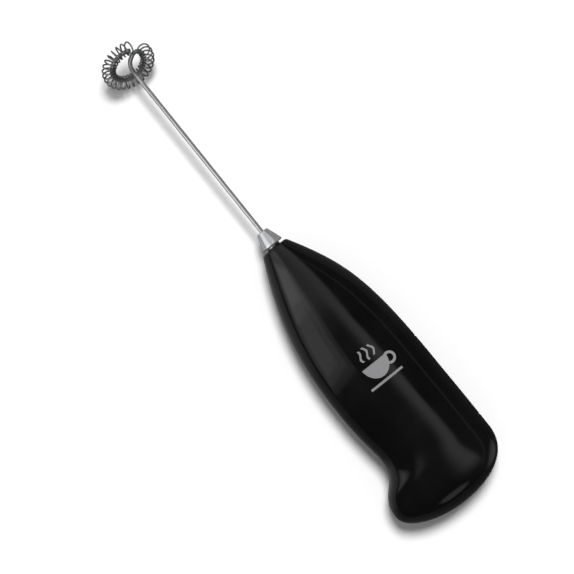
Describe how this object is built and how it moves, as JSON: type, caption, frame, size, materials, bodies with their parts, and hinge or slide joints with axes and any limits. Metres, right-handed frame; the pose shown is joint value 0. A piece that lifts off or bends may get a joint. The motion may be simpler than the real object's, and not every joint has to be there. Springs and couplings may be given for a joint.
{
  "type": "milk frother",
  "caption": "Hand-held battery milk frother: flattened black handle with a hooked end, a push bar on its edge, a silver cone and a long wire shaft with a coil-wrapped ring whisk that spins.",
  "frame": {"origin": "on the flat back that the frother rests on, under the spin axis and just ahead of the battery door", "axes": "+X along the spin axis from the whisk to the hooked end, +Y towards the convex edge with the push bar, +Z out of the front face"},
  "size_m": [0.2114, 0.0483, 0.0248],
  "materials": {
    "shell_black": "high gloss black moulding",
    "back_black": "gloss black moulding",
    "door_black": "gloss black moulding",
    "bar_black": "satin black moulding",
    "screw_steel": "zinc plated steel",
    "contact_bronze": "phosphor bronze strip",
    "can_steel": "drawn zinc plated steel",
    "cap_nylon": "natural nylon",
    "magnet_ferrite": "sintered ferrite",
    "bush_bronze": "sintered bronze",
    "brush_copper": "spring copper strip",
    "shaft_steel": "ground steel",
    "core_steel": "stacked steel laminations",
    "winding_copper": "enamelled copper wire",
    "commutator_copper": "turned copper",
    "cell_metal": "nickel plated can, aluminium stands in for its mean density",
    "cell_sleeve": "shrunk printed film",
    "spring_steel": "nickel plated spring wire",
    "plate_steel": "nickel plated strip",
    "wire_red": "vinyl insulation",
    "wire_black": "vinyl insulation",
    "hub_plastic": "light grey acetal",
    "cone_silver": "satin silver plating",
    "whisk_steel": "polished stainless wire",
    "coil_steel": "stainless spring wire"
  },
  "bodies": {
    "housing": {"front_shell": "shell_black", "back_shell": "back_black", "shell_screws": "screw_steel", "switch_leaf": "contact_bronze", "switch_contact": "contact_bronze", "motor_can": "can_steel", "motor_end_cap": "cap_nylon", "motor_magnets": "magnet_ferrite", "motor_bushes": "bush_bronze", "motor_brushes": "brush_copper", "cell_cores": "cell_metal", "cell_sleeves": "cell_sleeve", "contact_springs": "spring_steel", "front_plates": "plate_steel", "rear_link": "plate_steel", "wire_positive": "wire_red", "wire_negative": "wire_black"},
    "rotor": {"motor_shaft": "shaft_steel", "armature_core": "core_steel", "armature_windings": "winding_copper", "commutator": "commutator_copper", "coupling_hub": "hub_plastic", "whisk_cone": "cone_silver", "whisk_shaft": "whisk_steel", "whisk_coil": "coil_steel"},
    "press_bar": {"press_bar": "bar_black"},
    "battery_door": {"battery_door": "door_black"}
  },
  "joints": [
    {"name": "whisk_spin", "type": "hinge", "parent": "housing", "child": "rotor", "pos_m": [0, 0, 0.0124], "axis": [1, 0, 0], "continuous": true},
    {"name": "bar_press", "type": "slide", "parent": "housing", "child": "press_bar", "axis": [0, -1, 0], "range_m": [0, 0.0012], "stiffness_N_per_m": 800, "springref_m": -0.0008, "deforming": ["switch_leaf"]},
    {"name": "door_lift", "type": "slide", "parent": "housing", "child": "battery_door", "axis": [0, 0, -1], "range_m": [0, 0.06]}
  ]
}
